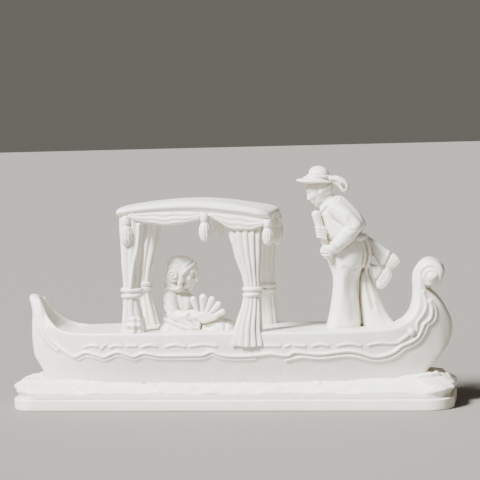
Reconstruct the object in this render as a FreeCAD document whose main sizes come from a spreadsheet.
import FreeCAD, Part
import math
import os

import Sketcher

# A souvenir gondola in moulded plastic: plinth, boat, canopy, gondolier and passenger.
# Millimetres. X runs from the bow to the stern, Y from the front to the back, Z up.
# The origin is the centre of the plinth's underside.

V = FreeCAD.Vector
UP = V(0, 0, 1)

doc = FreeCAD.newDocument("gondola_souvenir")
sheet = doc.addObject("Spreadsheet::Sheet", "sizes")

DRIVING = {
    "base_length": 120.0,
    "base_width": 26.0,
    "base_thick": 3.1,
    "base_corner": 7.0,
    "sea_length": 120.8,
    "sea_foot_length": 117.6,
    "sea_width": 25.4,
    "sea_crest_width": 22.6,
    "sea_lip_level": 5.6,
    "sea_top": 8.0,
    "keel_level": 6.6,
    "deck_level": 21.0,
    "deck_thick": 1.2,
    "hull_wall": 1.3,
    "hull_floor": 1.6,
    "beam": 24.0,
    "keel_beam": 17.6,
    "scroll_x": 53.9,
    "scroll_level": 35.6,
    "scroll_radius": 4.1,
    "scroll_width": 9.6,
    "roof_left": -29.8,
    "roof_right": 12.9,
    "roof_depth": 23.4,
    "roof_eaves": 52.6,
    "roof_crown": 57.2,
    "valance_thick": 1.5,
    "curtain_line": 9.6,
    "tie_level": 31.6,
    "tie_height": 1.35,
    "curtain_left_x": -25.3,
    "curtain_right_x": 6.4,
    "rear_curtain_left_x": -26.4,
    "rear_curtain_right_x": 8.4,
    "tassel_line": 10.9,
    "peg_radius": 1.0,
    "peg_length": 1.6,
    "peg_clearance": 0.05,
    "oar_radius": 0.85,
    "fan_radius": 7.0,
}
for row, (alias, value) in enumerate(DRIVING.items(), start=1):
    sheet.set(f"A{row}", alias.replace("_", " "))
    sheet.set(f"B{row}", str(value))
    sheet.setAlias(f"B{row}", alias)
doc.recompute()

pieces = []


def size(alias):
    """A driving dimension, read from the sheet."""
    return float(getattr(sheet, alias))


def bind(thing, **expressions):
    """Binds properties to expressions in the sheet's aliases."""
    for name, expression in expressions.items():
        thing.setExpression(name, expression)
    return thing


def place(thing, x, y, z, axis=UP, turn=0.0):
    """Puts a form at a point given as three expressions, turned about an axis in degrees."""
    thing.Placement = FreeCAD.Placement(V(0, 0, 0), FreeCAD.Rotation(axis, turn))
    for letter, expression in zip("xyz", (x, y, z)):
        thing.setExpression(f"Placement.Base.{letter}", str(expression))
    return thing


def ellipsoid(name, at, radii, axis=UP, turn=0.0):
    """An ellipsoid with radii along X, Y and Z before it is turned."""
    form = doc.addObject("Part::Ellipsoid", name)
    bind(form, Radius2=str(radii[0]), Radius3=str(radii[1]), Radius1=str(radii[2]))
    form.Angle1, form.Angle2, form.Angle3 = -90, 90, 360
    return place(form, *at, axis, turn)


def cylinder(name, at, radius, length, axis=UP, turn=0.0):
    form = doc.addObject("Part::Cylinder", name)
    bind(form, Radius=str(radius), Height=str(length))
    return place(form, *at, axis, turn)


def box(name, at, sides, axis=UP, turn=0.0):
    form = doc.addObject("Part::Box", name)
    bind(form, Length=str(sides[0]), Width=str(sides[1]), Height=str(sides[2]))
    return place(form, *at, axis, turn)


def ring(name, at, radius, section):
    form = doc.addObject("Part::Torus", name)
    bind(form, Radius1=str(radius), Radius2=str(section))
    return place(form, *at)


def loft(name, sections):
    """A solid through level ellipses, each given as x, y, z, half length in X and half depth in Y.

    Either all the half lengths are the larger ones, or all the half depths are.
    """
    rims = []
    for number, (x, y, z, half_x, half_y) in enumerate(sections):
        rim = doc.addObject("Part::Ellipse", f"{name}_rim_{number}")
        wide = half_x >= half_y
        rim.MajorRadius, rim.MinorRadius = max(half_x, half_y), min(half_x, half_y)
        place(rim, x, y, z, UP, 0 if wide else 90)
        rims.append(rim)
    form = doc.addObject("Part::Loft", name)
    form.Sections, form.Solid, form.Ruled = rims, True, False
    return form


def fuse(name, forms):
    joined = doc.addObject("Part::MultiFuse", name)
    joined.Shapes = forms
    return joined


def cut(name, form, tools):
    """A form less the neighbours that it rests against or takes pegs from."""
    tool = tools[0] if len(tools) == 1 else fuse(f"{name}_tools", tools)
    rest = doc.addObject("Part::Cut", name)
    rest.Base, rest.Tool = form, tool
    return rest


def free_form(name, shape):
    """A form that no primitive fits, built from Part's curves and lofts."""
    form = doc.addObject("Part::Feature", name)
    form.Shape = shape
    return form


def finish_piece(thing, label):
    thing.Label = label
    pieces.append(thing)
    return thing


def limb(name, joints):
    """A chain of tapered lengths with round joints, each joint a point and a radius."""
    solids = [Part.makeSphere(radius, V(*point)) for point, radius in joints]
    for (start, r_start), (end, r_end) in zip(joints, joints[1:]):
        along = V(*end) - V(*start)
        if abs(r_start - r_end) > 1e-6:
            solids.append(Part.makeCone(r_start, r_end, along.Length, V(*start), along))
        else:
            solids.append(Part.makeCylinder(r_start, along.Length, V(*start), along))
    return free_form(name, solids[0].fuse(solids[1:]).removeSplitter())


def body_with_sketch(name, plane_role, level=None):
    """A body and a first sketch on one of its origin planes, lifted to a level if one is given."""
    body = doc.addObject("PartDesign::Body", name)
    sketch = add_sketch(body, f"{name}_outline", plane_role, level)
    return body, sketch


def add_sketch(body, name, plane_role, level=None):
    sketch = body.newObject("Sketcher::SketchObject", name)
    plane = next(f for f in body.Origin.OriginFeatures if f.Role == plane_role)
    sketch.AttachmentSupport = [(plane, "")]
    sketch.MapMode = "FlatFace"
    if level is not None:
        sketch.setExpression("AttachmentOffset.Base.z", level)
    return sketch


def rounded_rectangle(sketch, length, width, corner):
    """A centred rectangle with round corners, its three sizes bound to the sheet."""
    a, b, r = 50.0, 9.0, 4.0
    corners = [(a - r, -b + r, -90), (a - r, b - r, 0), (-a + r, b - r, 90), (-a + r, -b + r, 180)]
    ends = [
        ((-a + r, -b), (a - r, -b)),
        ((a, -b + r), (a, b - r)),
        ((a - r, b), (-a + r, b)),
        ((-a, b - r), (-a, -b + r)),
    ]
    for start, end in ends:
        sketch.addGeometry(Part.LineSegment(V(*start, 0), V(*end, 0)))
    for x, y, first in corners:
        circle = Part.Circle(V(x, y, 0), V(0, 0, 1), r)
        sketch.addGeometry(Part.ArcOfCircle(circle, math.radians(first), math.radians(first + 90)))
    for side in range(4):
        arc = 4 + side
        sketch.addConstraint(Sketcher.Constraint("Tangent", side, 2, arc, 1))
        sketch.addConstraint(Sketcher.Constraint("Tangent", arc, 2, (side + 1) % 4, 1))
    for side, kind in enumerate(("Horizontal", "Vertical", "Horizontal", "Vertical")):
        sketch.addConstraint(Sketcher.Constraint(kind, side))
    for arc in (5, 6, 7):
        sketch.addConstraint(Sketcher.Constraint("Equal", 4, arc))
    sketch.addConstraint(Sketcher.Constraint("Symmetric", 0, 1, 2, 1, -1, 1))
    for name, constraint, expression in (
        ("length", Sketcher.Constraint("DistanceX", 3, 1, 1, 2, 2 * a), length),
        ("width", Sketcher.Constraint("DistanceY", 0, 2, 2, 1, 2 * b), width),
        ("corner", Sketcher.Constraint("Radius", 4, r), corner),
    ):
        number = sketch.addConstraint(constraint)
        sketch.renameConstraint(number, name)
        sketch.setExpression(f"Constraints.{name}", expression)


# ---------------------------------------------------------------- plinth

plinth, outline = body_with_sketch("plinth", "XY_Plane")
rounded_rectangle(outline, "sizes.base_length", "sizes.base_width", "sizes.base_corner")
slab = plinth.newObject("PartDesign::Pad", "plinth_pad")
slab.Profile = outline
bind(slab, Length="sizes.base_thick")
doc.recompute()
edge = plinth.newObject("PartDesign::Chamfer", "plinth_edge")
top_edges = [
    f"Edge{n}"
    for n, e in enumerate(slab.Shape.Edges, start=1)
    if e.BoundBox.ZMin > size("base_thick") - 0.01
]
edge.Base = (slab, top_edges)
edge.Size = 0.25
doc.recompute()
sea = doc.addObject("PartDesign::Body", "sea")
levels = (
    ("foot", "sizes.base_thick", "sizes.sea_foot_length", "sizes.sea_width", 7.0),
    ("lip", "sizes.sea_lip_level", "sizes.sea_length", "sizes.sea_crest_width + 1.4", 7.5),
    ("crest", "sizes.sea_top", "sizes.sea_length - 5", "sizes.sea_crest_width - 1.6", 6.0),
)
rings = []
for name, level, length, width, corner in levels:
    sketch = add_sketch(sea, f"sea_{name}", "XY_Plane", level)
    rounded_rectangle(sketch, length, width, str(corner))
    rings.append(sketch)
doc.recompute()
swell = sea.newObject("PartDesign::AdditiveLoft", "sea_swell")
swell.Profile, swell.Sections = rings[0], rings[1:]
swell.Ruled = True
doc.recompute()

# ---------------------------------------------------------------- boat

# Half beams at the rim, from the bow to the stern, as stations along X.
RIM_STATIONS = (
    (-57.4, 3.2), (-51.0, 6.6), (-42.0, 10.0), (-28.0, 11.8), (0.0, 12.0), (26.0, 11.8),
    (40.0, 10.0), (48.0, 8.0), (54.0, 5.6), (59.4, 2.6),
)
# The side view of the boat in X and Z: the stem, the stern's bulge and the sweep of both sheers.
STEM = ((-51.4, 6.6), (-55.1, 14.5))
BOW_FRONT = ((-55.1, 14.5), (-55.5, 20.0), (-55.4, 25.6), (-56.6, 30.0))
BOW_TIP = ((-56.6, 30.0), (-55.6, 31.0), (-54.2, 30.3))
BOW_SHEER = ((-54.2, 30.3), (-52.4, 26.6), (-49.6, 23.2), (-46.0, 21.6), (-42.0, 21.0))
STERN_SHEER = ((37.0, 21.0), (43.0, 21.9), (46.8, 24.0), (48.6, 28.0), (49.2, 33.6))
STERN_BACK = ((52.4, 32.4), (56.0, 28.2), (58.4, 23.4), (58.9, 20.2), (58.0, 16.6), (54.4, 11.8), (51.8, 6.6))


def curve(points):
    """A smooth edge through points."""
    line = Part.BSplineCurve()
    line.interpolate([V(*p) for p in points])
    return line.toShape()


def plan_wire(stations, half_beam, level):
    """The boat's outline seen from above at one level, its sides scaled to a half beam."""
    widest = max(w for _, w in stations)
    sides = []
    for sign in (-1, 1):
        sides.append([(x, sign * w * half_beam / widest, level) for x, w in stations])
    front, back = sides
    return Part.Wire([
        curve(front),
        Part.makeLine(V(*front[-1]), V(*back[-1])),
        curve(list(reversed(back))),
        Part.makeLine(V(*back[0]), V(*front[0])),
    ])


def side_view(top):
    """The boat's outline seen from the front, as a face swept right across the beam."""
    def flat(points):
        return [(x, 0, z) for x, z in points]

    edges = [curve(flat(part)) for part in (BOW_FRONT, BOW_TIP, BOW_SHEER)]
    edges.append(Part.makeLine(V(BOW_SHEER[-1][0], 0, top), V(STERN_SHEER[0][0], 0, top)))
    edges.append(curve(flat(STERN_SHEER)))
    neck_front, neck_back = flat([STERN_SHEER[-1], STERN_BACK[0]])
    edges.append(Part.makeLine(V(*neck_front), V(*neck_back)))
    edges.append(curve(flat(STERN_BACK)))
    edges.append(Part.makeLine(V(STERN_BACK[-1][0], 0, STERN_BACK[-1][1]), V(STEM[0][0], 0, STEM[0][1])))
    edges.append(Part.makeLine(V(STEM[0][0], 0, STEM[0][1]), V(STEM[1][0], 0, STEM[1][1])))
    face = Part.Face(Part.Wire(Part.__sortEdges__(edges)))
    face.translate(V(0, -15, 0))
    return face.extrude(V(0, 30, 0))


def hull_outside():
    keel, rim = size("keel_level"), size("deck_level")
    wires = [
        plan_wire(RIM_STATIONS, size("keel_beam") / 2, keel - 0.5),
        plan_wire(RIM_STATIONS, size("beam") / 2, rim),
        plan_wire(RIM_STATIONS, size("beam") / 2, 45.0),
    ]
    return Part.makeLoft(wires, True, True).common(side_view(rim))


def hull_well():
    """The hollow between the walls, from the hull's floor up past the rim."""
    wall = size("hull_wall")
    stations = [(x * 0.78, w) for x, w in RIM_STATIONS]
    floor = size("keel_level") + size("hull_floor")
    wires = [
        plan_wire(stations, size("keel_beam") / 2 - wall, floor),
        plan_wire(stations, size("beam") / 2 - wall - 0.3, size("deck_level") + 1.5),
    ]
    return Part.makeLoft(wires, True, True)


hull_solid = free_form("hull_outside", hull_outside())
hull_hollow = free_form("hull_well", hull_well())


def pegs_and_sockets(name, places, radius, bottom, top):
    """Upright pegs that join two mouldings, and the sockets they drop into."""
    fits = []
    for kind, spare, extra in (("peg", "0", "0"), ("socket", "sizes.peg_clearance", "0.2")):
        fits.append([
            cylinder(f"{name}_{kind}_{n}", (x, y, f"{bottom} - {extra}"), f"{radius} + {spare}",
                     f"{top} - ({bottom}) + {extra}")
            for n, (x, y) in enumerate(places)
        ])
    return fits


PLINTH_PEGS = ((-34.0, 0.0), (34.0, 0.0))
HULL_PEGS = ((-22.0, 0.0), (22.0, 0.0))
sea_pegs, plinth_sockets = pegs_and_sockets(
    "sea", PLINTH_PEGS, "2 * sizes.peg_radius",
    "sizes.base_thick - sizes.peg_length", "sizes.base_thick + 0.5")
hull_pegs, sea_sockets = pegs_and_sockets(
    "hull", HULL_PEGS, "1.5 * sizes.peg_radius",
    "sizes.keel_level - sizes.peg_length", "sizes.keel_level + 0.5")

finish_piece(cut("plinth_piece", plinth, plinth_sockets), "base_plate")
finish_piece(cut("sea_piece", fuse("sea_block", [sea, *sea_pegs]), [hull_solid, *sea_sockets]), "sea_slab")
hull_walls = cut("hull_walls", hull_solid, [hull_hollow])

deck_blank = box(
    "deck_blank", (-55, -12, "sizes.deck_level - sizes.deck_thick"), (110, 24, "sizes.deck_thick"))
deck_form = doc.addObject("Part::Common", "deck_form")
deck_form.Base, deck_form.Tool = deck_blank, hull_hollow

# The volute that ends the stern post: a drum with a raised spiral on each face.
scroll_drum = cylinder(
    "scroll_drum", ("sizes.scroll_x", "sizes.scroll_width / 2", "sizes.scroll_level"),
    "sizes.scroll_radius", "sizes.scroll_width", V(1, 0, 0), 90)
scroll_eyes = [
    ellipsoid(
        f"scroll_eye_{side}",
        ("sizes.scroll_x", f"{side} * sizes.scroll_width / 2", "sizes.scroll_level"), (1.3, 0.5, 1.3))
    for side in (-1, 1)
]
scroll_neck = loft("scroll_neck", (
    (50.9, 0, 31.8, 1.6, 1.59), (51.0, 0, 33.8, 1.5, 1.49), (51.6, 0, 36.0, 1.4, 1.39)))
scroll = fuse("scroll_form", [scroll_drum, *scroll_eyes, scroll_neck])
finish_piece(cut("scroll_piece", scroll, [hull_solid]), "stern_scroll")

# ---------------------------------------------------------------- canopy

ROOF_UNDERSIDE = ((0.0, -0.2), (0.5, 0.0), (1.0, -2.2))
ROOF_TOP = ((0.0, 0.1), (0.25, 0.72), (0.56, 1.0), (0.8, 0.74), (1.0, 0.02))


def roof_points(pairs, low, span):
    """Turns shares of the roof's length, and heights as shares of a span, into points in X and Z."""
    left, right = size("roof_left"), size("roof_right")
    return [(left + share * (right - left), 0, low + height * span) for share, height in pairs]


def roof_shape(under, upper, depth):
    """The slab between two curves in the front view, centred on the roof's long axis."""
    low_start, low_end = under.Vertexes[0].Point, under.Vertexes[-1].Point
    high_start, high_end = upper.Vertexes[0].Point, upper.Vertexes[-1].Point
    sides = [Part.makeLine(high_end, low_end), Part.makeLine(low_start, high_start)]
    face = Part.Face(Part.Wire(Part.__sortEdges__([under, upper, *sides])))
    face.translate(V(0, -depth / 2, 0))
    return face.extrude(V(0, depth, 0))


eaves_level, crown_level = size("roof_eaves"), size("roof_crown")
roof_under = curve(roof_points(ROOF_UNDERSIDE, eaves_level, 1.0))
roof_upper = curve(roof_points(ROOF_TOP, eaves_level, crown_level - eaves_level))
sky_line = Part.makeLine(V(size("roof_left"), 0, 70), V(size("roof_right"), 0, 70))
roof_form = free_form("roof_form", roof_shape(roof_under, roof_upper, size("roof_depth")))
finish_piece(roof_form, "canopy_roof")
# Everything above the roof's underside, which trims what hangs from it.
over_eaves = free_form("over_eaves", roof_shape(roof_under, sky_line, 2 * size("roof_depth")))


def valance(name, front):
    """A strip under the eaves, cut below into two swags. front is -1 at the front and 1 at the back."""
    top = size("roof_eaves") + 2
    outline = [
        Part.makeLine(V(-26.4, 0, top), V(-26.4, 0, 51.6)),
        Part.Arc(V(-26.4, 0, 51.6), V(-15.6, 0, 48.7), V(-6.0, 0, 51.2)).toShape(),
        Part.makeLine(V(-6.0, 0, 51.2), V(-3.6, 0, 51.2)),
        Part.Arc(V(-3.6, 0, 51.2), V(5.0, 0, 47.8), V(12.2, 0, 49.6)).toShape(),
        Part.makeLine(V(12.2, 0, 49.6), V(12.2, 0, top)),
        Part.makeLine(V(12.2, 0, top), V(-26.4, 0, top)),
    ]
    face = Part.Face(Part.Wire(outline))
    outer = size("roof_depth") / 2 - 0.3
    face.translate(V(0, front * outer, 0))
    strip = face.extrude(V(0, -front * size("valance_thick"), 0))
    return cut(f"{name}_piece", free_form(name, strip), [over_eaves])


valance_front = finish_piece(valance("valance_front_strip", -1), "valance_front")
valance_rear = finish_piece(valance("valance_rear_strip", 1), "valance_rear")


def curtain(name, x, y, lean, foot_level, foot_x, foot_y, foot_size):
    """A gathered curtain from the eaves to its foot, and the tie round its waist."""
    tie = "sizes.tie_level"
    form = loft(f"{name}_form", (
        (f"{x} - {lean}", y, "sizes.roof_eaves + 1", 3.4, 2.3),
        (f"{x} - 0.6 * {lean}", y, 44.0, 3.0, 2.2),
        (x, y, f"{tie} + 3", 2.5, 2.0),
        (x, y, tie, 2.3, 1.8),
        (x, y, f"{tie} - 3", 2.6, 1.9),
        (foot_x, foot_y, foot_level, *foot_size),
    ))
    piece = cut(f"{name}_piece", form, [over_eaves, valance_front, valance_rear, hull_solid])
    rings = [
        cylinder(
            f"{name}_ring_{n}", (x, y, f"{tie} + {level} * sizes.tie_height"), radius,
            "1.05 * sizes.tie_height")
        for n, (level, radius) in enumerate(((-1, 2.9), (0, 2.75)))
    ]
    band = cut(f"{name}_band", fuse(f"{name}_rings", rings), [form])
    return piece, band


# Each curtain's waist X and Y, its lean, then its foot's level, X, Y and half sizes.
CURTAINS = {
    "front_left": (
        "sizes.curtain_left_x", "-sizes.curtain_line + 0.6", -0.9, 20.4, -26.0, -8.8, (3.0, 2.2)),
    "front_right": (
        "sizes.curtain_right_x", "-sizes.curtain_line + 0.2", 0.8, 17.2, 6.0, -11.5, (4.4, 0.9)),
    "rear_left": (
        "sizes.rear_curtain_left_x", "sizes.curtain_line - 0.6", -1.5, 20.4, -25.0, 8.8, (3.2, 2.2)),
    "rear_right": (
        "sizes.rear_curtain_right_x", "sizes.curtain_line - 0.6", 0.0, 20.4, 8.6, 8.8, (2.6, 2.2)),
}
for corner, layout in CURTAINS.items():
    piece, band = curtain(f"curtain_{corner}", *layout)
    finish_piece(piece, f"curtain_{corner}")
    finish_piece(band, f"tie_band_{corner}")


def tassel(name, x, y, top, length):
    """A button, a neck bead and a drop, hung from a point."""
    return fuse(name, [
        cylinder(f"{name}_button", (x, y, top - 0.26 * length), 0.9, 0.26 * length),
        ring(f"{name}_bead", (x, y, top - 0.3 * length), 0.62, 0.55),
        ellipsoid(f"{name}_drop", (x, y, top - 0.66 * length), (1.45, 1.4, 0.36 * length)),
    ])


TASSELS = {
    "centre_tassel_front": (-4.7, -1, 52.8, 8.2),
    "centre_tassel_rear": (-4.7, 1, 52.8, 8.2),
    "corner_tassel_front_left": (-26.4, -1, 52.2, 8.2),
    "corner_tassel_front_right": (11.6, -1, 50.8, 6.4),
    "corner_tassel_rear_left": (-26.4, 1, 52.2, 8.2),
    "corner_tassel_rear_right": (11.6, 1, 50.8, 7.0),
    "end_tassel": (13.0, 0, 50.6, 6.8),
}
for label, (x, side, top, length) in TASSELS.items():
    form = tassel(f"{label}_form", x, f"{side} * sizes.tassel_line", top, length)
    strip = valance_front if side < 0 else valance_rear
    row = "front" if side < 0 else "rear"
    hangings = [doc.getObject(f"curtain_{row}_{hand}_form") for hand in ("left", "right")]
    finish_piece(cut(f"{label}_piece", form, [over_eaves, strip, *hangings]), label)

# ---------------------------------------------------------------- gondolier

feet = ((30.7, -1.6), (39.4, 1.4))
front_leg = loft("front_leg", (
    (30.7, -1.4, "sizes.deck_level", 4.7, 3.9), (31.1, -1.5, 28.0, 3.7, 3.2), (31.1, -1.5, 33.0, 3.2, 2.9),
    (31.3, -1.2, 38.0, 3.9, 3.2), (32.0, -0.6, 41.6, 3.9, 3.3)))
rear_leg = loft("rear_leg", (
    (39.5, 1.4, "sizes.deck_level", 4.5, 3.7), (38.1, 1.4, 26.0, 3.4, 3.0), (36.7, 1.4, 31.0, 2.9, 2.8),
    (34.9, 1.2, 37.7, 3.0, 2.9), (33.2, 0.6, 41.6, 3.6, 3.1)))
hips = ellipsoid("hips", (32.7, 0, 41.6), (4.3, 4.1, 3.8))
trousers_form = fuse("trousers_form", [front_leg, rear_leg, hips])
foot_pegs, deck_sockets = pegs_and_sockets(
    "foot", feet, "sizes.peg_radius", "sizes.deck_level - 0.9", "sizes.deck_level + 0.5")
shirt_form = loft("shirt_form", (
    (32.4, 0, 42.4, 3.9, 3.8), (32.0, 0, 45.8, 4.4, 4.2), (31.5, 0, 49.0, 5.0, 4.8),
    (29.9, 0, 52.6, 4.6, 4.5),
    (28.8, 0, 55.4, 2.9, 2.89)))
sash_band = loft("sash_band", ((32.5, 0, 43.2, 4.6, 4.4), (32.3, 0, 45.2, 4.8, 4.6)))
sash_tails = [
    limb("sash_tail_upper", (((36.2, 1.0, 43.9), 1.2), ((40.2, 1.6, 40.7), 2.0), ((43.6, 2.0, 37.8), 1.7))),
    limb("sash_tail_lower", (((36.4, 0.2, 42.6), 1.1), ((38.9, 0.4, 37.2), 1.9), ((41.0, 0.6, 33.6), 1.8))),
]
oar_top, oar_foot = V(23.9, -3.6, 52.0), V(32.9, 3.6, size("deck_level"))
oar_line = oar_foot - oar_top
oar_form = fuse("oar_form", [
    cylinder("oar_shaft", (oar_top.x, oar_top.y, oar_top.z), "sizes.oar_radius", oar_line.Length,
             UP.cross(oar_line), math.degrees(UP.getAngle(oar_line))),
    ellipsoid("oar_grip", (oar_top.x, oar_top.y, oar_top.z), (1.25, 1.25, 1.25)),
])
near_arm = loft("near_arm", (
    (30.6, -4.0, 54.2, 1.4, 1.2), (31.2, -4.6, 52.0, 2.3, 2.0), (32.8, -5.4, 49.0, 2.5, 2.1),
    (33.2, -5.8, 46.8, 2.9, 2.1), (31.2, -5.8, 44.6, 3.4, 2.0), (28.8, -5.2, 42.6, 3.1, 1.9),
    (27.3, -4.6, 41.0, 2.3, 1.7), (26.9, -4.4, 39.8, 1.1, 1.0)))
far_arm = limb("far_arm", (((29.0, 3.4, 52.4), 2.0), ((27.8, 2.4, 48.6), 1.7), ((26.2, -1.8, 46.8), 1.3)))
far_hand = ellipsoid("far_hand", (25.4, -3.2, 46.6), (1.7, 1.7, 1.9))
collar_form = loft("collar_form", ((28.4, 0, 53.2, 3.9, 3.89), (26.6, 0, 55.6, 2.6, 2.59)))
head_form = loft("head_form", (
    (27.3, 0, 53.8, 1.8, 1.79), (25.9, 0, 55.0, 2.8, 2.1), (25.2, 0, 56.6, 3.5, 2.7),
    (24.8, 0, 58.6, 3.7, 2.9),
    (24.8, 0, 60.4, 3.3, 2.7), (24.9, 0, 61.8, 1.8, 1.6)))
HAT_TILT = 4.0
brim = ellipsoid("hat_brim", (23.8, 0, 60.4), (5.3, 4.9, 0.8), V(0, 1, 0), HAT_TILT)
crown = ellipsoid("hat_crown", (24.8, 0, 61.2), (3.0, 2.9, 3.2), V(0, 1, 0), HAT_TILT)
hat_form = fuse("hat_form", [brim, crown])
ribbon_form = fuse("ribbon_form", [
    ring("hat_band", (24.8, 0, 61.3), 2.85, 0.42),
    limb("ribbon_loop", (((27.8, -0.8, 60.8), 0.8), ((30.8, -1.2, 60.2), 1.1), ((31.6, -0.8, 58.2), 1.0))),
])

finish_piece(
    cut("trousers_piece", fuse("trousers_pegged", [trousers_form, *foot_pegs]), [oar_form]),
    "gondolier_trousers")
finish_piece(cut("shirt_piece", shirt_form, [trousers_form]), "gondolier_shirt")
finish_piece(cut("sash_piece", fuse("sash_form", [sash_band, *sash_tails]), [trousers_form, shirt_form]),
             "gondolier_sash")
finish_piece(
    cut("far_arm_piece", fuse("far_arm_form", [far_arm, far_hand]), [shirt_form, oar_form]),
    "gondolier_far_arm")
finish_piece(
    cut("near_arm_piece", near_arm, [shirt_form, oar_form, trousers_form]), "gondolier_near_arm")
finish_piece(cut("collar_piece", collar_form, [shirt_form, head_form]), "gondolier_collar")
finish_piece(cut("head_piece", head_form, [shirt_form]), "gondolier_head")
finish_piece(cut("hat_piece", hat_form, [head_form]), "gondolier_hat")
finish_piece(cut("ribbon_piece", ribbon_form, [hat_form, head_form]), "gondolier_hat_ribbon")
finish_piece(cut("oar_piece", oar_form, [hull_solid]), "oar")

# ---------------------------------------------------------------- passenger

lap_peg, lap_socket = pegs_and_sockets(
    "lap", ((-12.0, 0.0),), "1.5 * sizes.peg_radius", "sizes.deck_level - 0.9", "sizes.deck_level + 0.5")
skirt_form = loft("skirt_form", (
    (-9.6, -0.6, "sizes.deck_level", 10.2, 6.6), (-9.6, -0.6, 22.8, 9.2, 5.8),
    (-11.2, -0.2, 24.6, 6.4, 4.2)))
skirt_pieces = [skirt_form, ellipsoid("knees", (-3.8, -1.6, 22.0), (4.4, 3.8, 2.4))]
bodice_form = loft("bodice_form", (
    (-14.8, 0.4, 22.0, 4.4, 3.8), (-15.2, 0.4, 26.0, 3.8, 3.4), (-15.0, 0.4, 29.6, 3.9, 3.6),
    (-14.4, 0.4, 31.8, 2.2, 2.1)))
passenger_arm = limb("passenger_arm_form", (
    ((-16.2, -2.6, 29.0), 2.0), ((-15.2, -4.2, 25.4), 1.8), ((-8.8, -5.4, 24.5), 1.2)))
passenger_head_form = fuse("passenger_head_form", [
    ellipsoid("passenger_skull", (-13.6, -0.2, 36.0), (4.1, 3.6, 4.4)),
    limb("passenger_neck", (((-13.8, 0.2, 33.2), 1.6), ((-14.2, 0.4, 31.0), 1.7))),
])
bun_form = free_form("bun_form", Part.makeSphere(2.3, V(-15.6, -3.2, 36.4)))
headband_form = free_form(
    "headband_form", Part.makeTorus(3.9, 0.6, V(-13.4, -0.2, 37.2), V(0.5, -0.25, 0.8)))
FAN_RIBS = 5
FAN_FIRST_ANGLE, FAN_STEP = 106, 21
fan_pivot = V(-7.1, -6.2, 24.0)
fan_forms = []
for number in range(FAN_RIBS):
    angle = math.radians(FAN_FIRST_ANGLE - number * FAN_STEP)
    tip = fan_pivot + V(math.cos(angle), 0, math.sin(angle)) * (size("fan_radius") - 1.0)
    fan_forms.append(limb(f"fan_rib_{number}", ((tuple(fan_pivot), 0.5), (tuple(tip), 1.0))))
fan_form = fuse("fan_form", fan_forms)
skirt_all = fuse("skirt_all", skirt_pieces)

finish_piece(cut("skirt_piece", fuse("skirt_pegged", [skirt_all, *lap_peg]), [fan_form]), "passenger_skirt")
finish_piece(cut("bodice_piece", bodice_form, [skirt_all]), "passenger_bodice")
finish_piece(cut("passenger_arm_piece", passenger_arm, [bodice_form, skirt_all, fan_form]), "passenger_arm")
finish_piece(cut("passenger_head_piece", passenger_head_form, [bodice_form]), "passenger_head")
finish_piece(cut("headband_piece", headband_form, [passenger_head_form]), "passenger_headband")
finish_piece(cut("bun_piece", bun_form, [passenger_head_form, headband_form]), "passenger_bun")
finish_piece(fuse("fan_piece", fan_forms), "passenger_fan")

finish_piece(cut("deck_piece", deck_form, [*deck_sockets, *lap_socket]), "deck_plate")
finish_piece(fuse("hull_piece", [hull_walls, *hull_pegs]), "hull_shell")

doc.recompute()

for thing in doc.Objects:
    if "Invalid" in thing.State or "Error" in thing.State:
        raise RuntimeError(f"{thing.Label} failed to compute: {thing.State}")
os.makedirs("parts", exist_ok=True)
for piece in pieces:
    shape = piece.Shape
    if shape.isNull() or not shape.isValid():
        raise RuntimeError(f"{piece.Label} has no valid shape")
    shape.exportStep(f"parts/{piece.Label}.step")
    box_of = shape.optimalBoundingBox()
    low, high = (box_of.XMin, box_of.YMin, box_of.ZMin), (box_of.XMax, box_of.YMax, box_of.ZMax)
    spans = ", ".join(f"{a:.1f} to {b:.1f}" for a, b in zip(low, high))
    print(f"{piece.Label}: {len(shape.Solids)} solids, {shape.Volume:.1f} mm3, spans {spans}")
